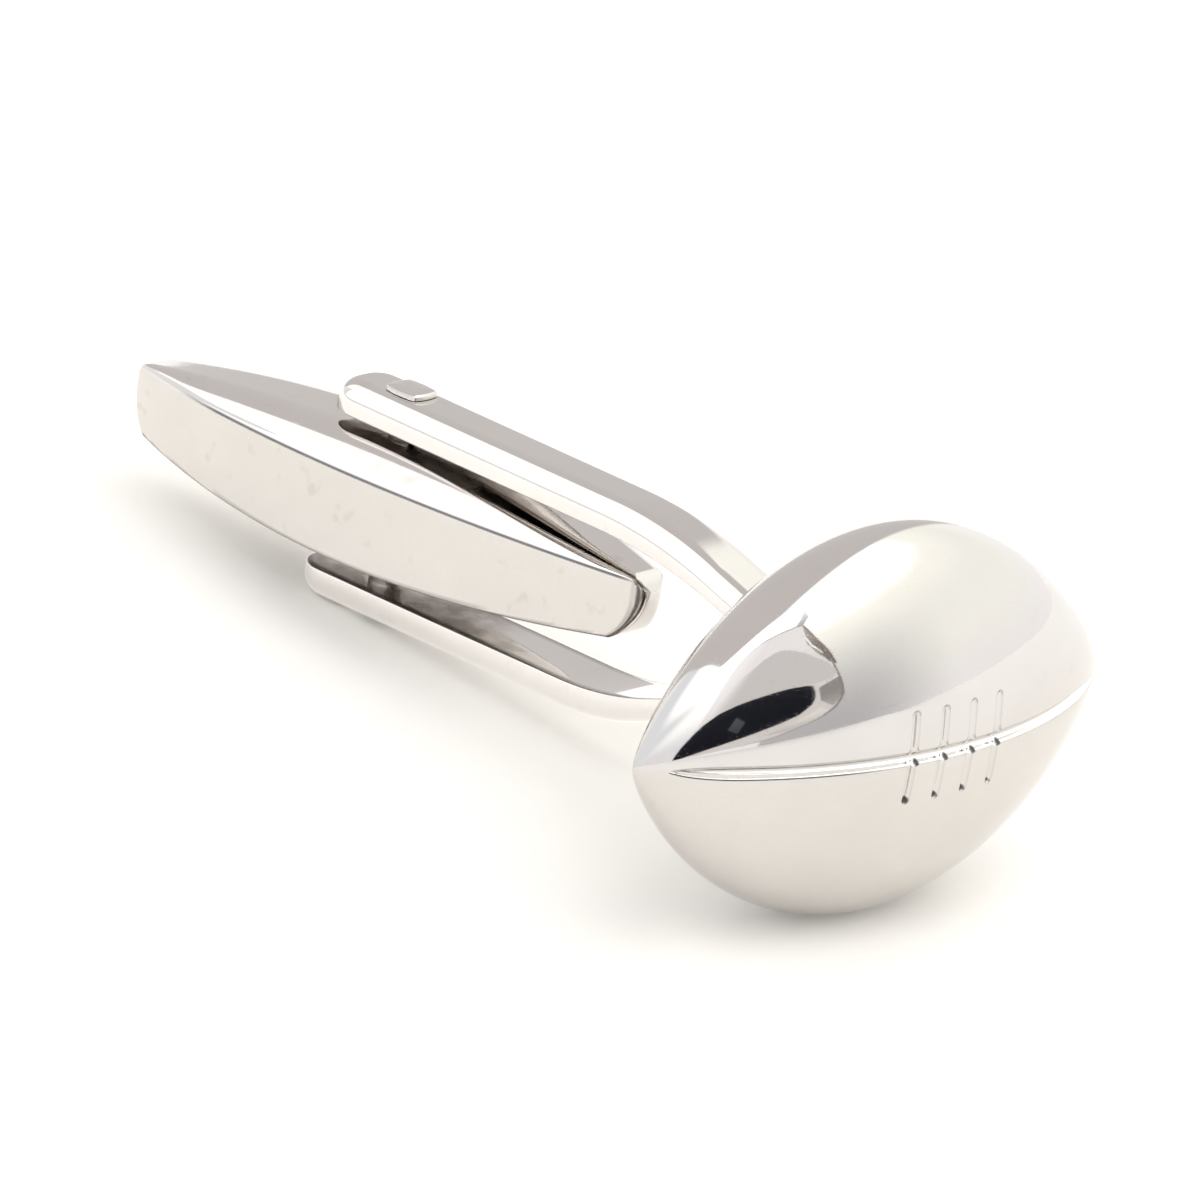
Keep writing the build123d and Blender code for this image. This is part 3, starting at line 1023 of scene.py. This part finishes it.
def add_flap():
    """The tent's arched flap, with the dark opening and the camera's hood in it.

    Cards are outlines of (azimuth, elevation), and strips lines of (azimuth, elevation, width).
    """
    arch = [
        (-25, 20), (-28.5, 34), (-33, 45), (-37, 53), (-39, 59), (-36, 63), (-29, 65), (-18, 64.3),
        (-8, 62), (-2, 60.4), (2, 58), (5.5, 49), (9, 39.5), (12.5, 29), (15, 21), (16.6, 15),
        (17, 11), (15.6, 8), (13, 6), (10, 4.8), (3, 3), (-10, 2), (-23, 0.8),
    ]
    add_card("flap", arch, (0.8, 0.77, 0.76), (1.03, 1.02, 1.04), 6.0, 48.0, 0, (-33.0, -20.0))
    shade = [
        (-24, 26.5), (-26.5, 33), (-26.5, 39), (-23, 44.5), (-16, 49), (-11, 49.7), (-7, 48.5),
        (-2, 44.5), (4, 38), (8, 32.5), (11.6, 27.6), (13.8, 23.6), (14.6, 21), (13.6, 19.4),
        (10, 20), (1, 23), (-8, 25), (-20, 26),
    ]
    shade_tones = ((0.73, 0.71, 0.705), (0.72, 0.715, 0.725))
    add_card("flap_shade", shade, *shade_tones, 30.0, 50.0, 1, (-29.0, -16.0))
    crescent = [
        (1.6, 57.4), (5.4, 49), (9.2, 40.5), (12.2, 33), (14.8, 24.5), (12.4, 27.5), (8.4, 34.5),
        (4.6, 42.2), (2.2, 49.5),
    ]
    add_card("flap_crescent", crescent, (0.24, 0.21, 0.19), (0.5, 0.46, 0.43), 34.0, 52.0, 2)
    facet = [(10.4, 17.6), (15.6, 19), (16.8, 11.5), (15, 8.6), (11.6, 12)]
    add_card("flap_facet", facet, (0.48, 0.46, 0.44), (0.34, 0.33, 0.315), 9.0, 15.0, 2)
    low_facet = [(12, 9.6), (14.2, 7.6), (10, 5.2), (5, 4), (0, 4.4), (5, 6.4), (9, 7.8)]
    add_card("flap_low_facet", low_facet, (0.66, 0.63, 0.61), (0.9, 0.88, 0.85), 4.0, 8.0, 2)
    opening = [
        (-23.2, 0.5), (-24.8, 12), (-24.8, 19), (-23.6, 24), (-20, 26.8), (-14, 26.6), (-8, 25.4),
        (1, 23), (7, 20.6), (8.6, 19.4), (9.6, 16.6), (10, 13.8), (9.6, 11.6), (7.2, 9.3), (3, 8),
        (-3, 6.6), (-8, 5.6), (-14, 4),
    ]
    add_card("opening", opening, (0.012, 0.013, 0.018), (0.018, 0.02, 0.026), 0.0, 30.0, 3)
    hood = [(-11, 19), (-7, 14), (-7.2, 9), (-11, 13)]
    add_card("hood", hood, (0.07, 0.075, 0.085), (0.1, 0.105, 0.115), 8.0, 19.0, 4)
    notch = [(2, 58.4), (-3, 61), (0, 65), (5, 73), (5.4, 63)]
    add_card("flap_notch", notch, (0.6, 0.62, 0.65), (1.3, 1.3, 1.3), 59.0, 73.0, 5)

    top_rim = [
        (-40, 50, 0.1), (-42, 58, 0.2), (-38, 62.5, 0.4), (-29, 65, 0.6), (-18, 64.3, 0.8),
        (-8, 62, 0.8), (-2, 60.4, 0.9), (2, 58, 0.7),
    ]
    add_strip("flap_top_rim", top_rim, (0.45, 0.43, 0.43), 2)
    side_rim = [
        (1.6, 58, 0.9), (5.5, 49, 0.8), (9, 39.5, 0.5), (12.5, 29, 0.4), (15, 21, 0.5),
        (16.6, 15, 0.6), (17, 11, 0.9), (15.6, 8, 0.7), (13, 6, 0.5), (10, 4.8, 0.3), (3, 3, 0.2),
        (-16, 1.5, 0.1),
    ]
    add_strip("flap_side_rim", side_rim, (0.3, 0.27, 0.25), 4)
    tuck = [(17, 11, 0.6), (18.6, 7, 0.6), (21, 4.2, 0.5), (24, 2.8, 0.4), (31, 1.8, 0.3)]
    add_strip("flap_tuck", tuck, (0.62, 0.6, 0.59), 4)
    glint = [(1.4, 55, 0.2), (3, 48, 0.5), (6.2, 40.4, 0.6), (10.2, 33, 0.3)]
    add_strip("flap_glint", glint, (1.4, 1.4, 1.4), 4.5)


def add_reflector(name, points, strength, pieces):
    """A clear card that adds a glow to the tent behind it, and lights the given pieces alone."""
    graph = Graph(name)
    emission = graph.node("ShaderNodeEmission")
    emission.inputs["Color"].default_value = (strength, strength, strength, 1)
    emission.inputs["Strength"].default_value = studio_light
    clear = graph.node("ShaderNodeBsdfTransparent")
    both = graph.node("ShaderNodeAddShader")
    graph.feed(both.inputs[0], emission.outputs[0])
    graph.feed(both.inputs[1], clear.outputs[0])
    card = add_stage(name, points, [tuple(range(len(points)))], graph.surface(both))
    lit = bpy.data.collections.new(name)
    for piece in pieces:
        lit.objects.link(piece)
    card.light_linking.receiver_collection = lit


def add_reflectors(toggle, arms):
    """Clear cards above, at the left and over the floor, for the arms and the toggle."""
    height = 0.12
    corners = [(0.14, -0.2), (0.14, 3.7), (-0.2, 3.7), (-0.65, 0.9), (-0.6, -0.2)]
    above = [pivot + Vector((u, v, 1)) * height for u, v in corners]
    add_reflector("upper_reflector", above, 0.75, arms + [toggle])

    facing = direction(-104, 25)
    outline = [(-158, 4), (-160, 40), (-140, 58), (-90, 64), (-50, 50), (-45, 4)]
    towards = [direction(a, e) for a, e in outline]
    beside = [pivot + d * height / d.dot(facing) for d in towards]
    add_reflector("left_reflector", beside, 0.45, arms + [toggle])

    reach = 0.5
    over_floor = 0.1 * MM
    corners = [(-reach, -reach), (reach, -reach), (reach, reach), (-reach, reach)]
    below = [Vector((u, v, over_floor)) for u, v in corners]
    add_reflector("arm_floor_reflector", below, 0.3, arms)
    # A little larger and higher, so that the two don't lie in one plane
    slightly_above = [p * 1.01 for p in below]
    add_reflector("toggle_floor_reflector", slightly_above, 0.05, [toggle])


world = bpy.data.worlds.new("studio")
scene.world = world
world.use_nodes = True
world.node_tree.nodes["Background"].inputs["Color"].default_value = (1, 1, 1, 1)
world.node_tree.nodes["Background"].inputs["Strength"].default_value = 1.0
world.cycles_visibility.diffuse = False
world.cycles_visibility.glossy = False
scene.view_settings.view_transform = "Standard"
scene.cycles.glossy_bounces = 5

add_camera()
add_floor()
add_tent()
add_flap()

ball_and_fork_plate = plate("ball_and_fork_plate", metal_tint, 0.02, 2.0e-6, 0.15)
arm_plate = plate("arm_plate", metal_tint, 0.025, 5.0e-6, 0.3)
rivet_plate = plate("rivet_plate", metal_tint, 0.04, 2.0e-6, 0.3)
toggle_plate = plate("toggle_plate", metal_tint, 0.03, 3.0e-6, 0.6)

head_pieces = [
    build_ball(ball_and_fork_plate),
    build_arm("upper_arm", arm_plate, **upper_arm),
    build_arm("lower_arm", arm_plate, **lower_arm),
]
for piece in head_pieces:
    place(piece, "head", "ball_head_fork")
place(build_rivet(rivet_plate), "head", "pivot_rivet")
toggle = build_toggle(toggle_plate)
place(toggle, "toggle", "toggle_bar")
add_reflectors(toggle, head_pieces[1:])
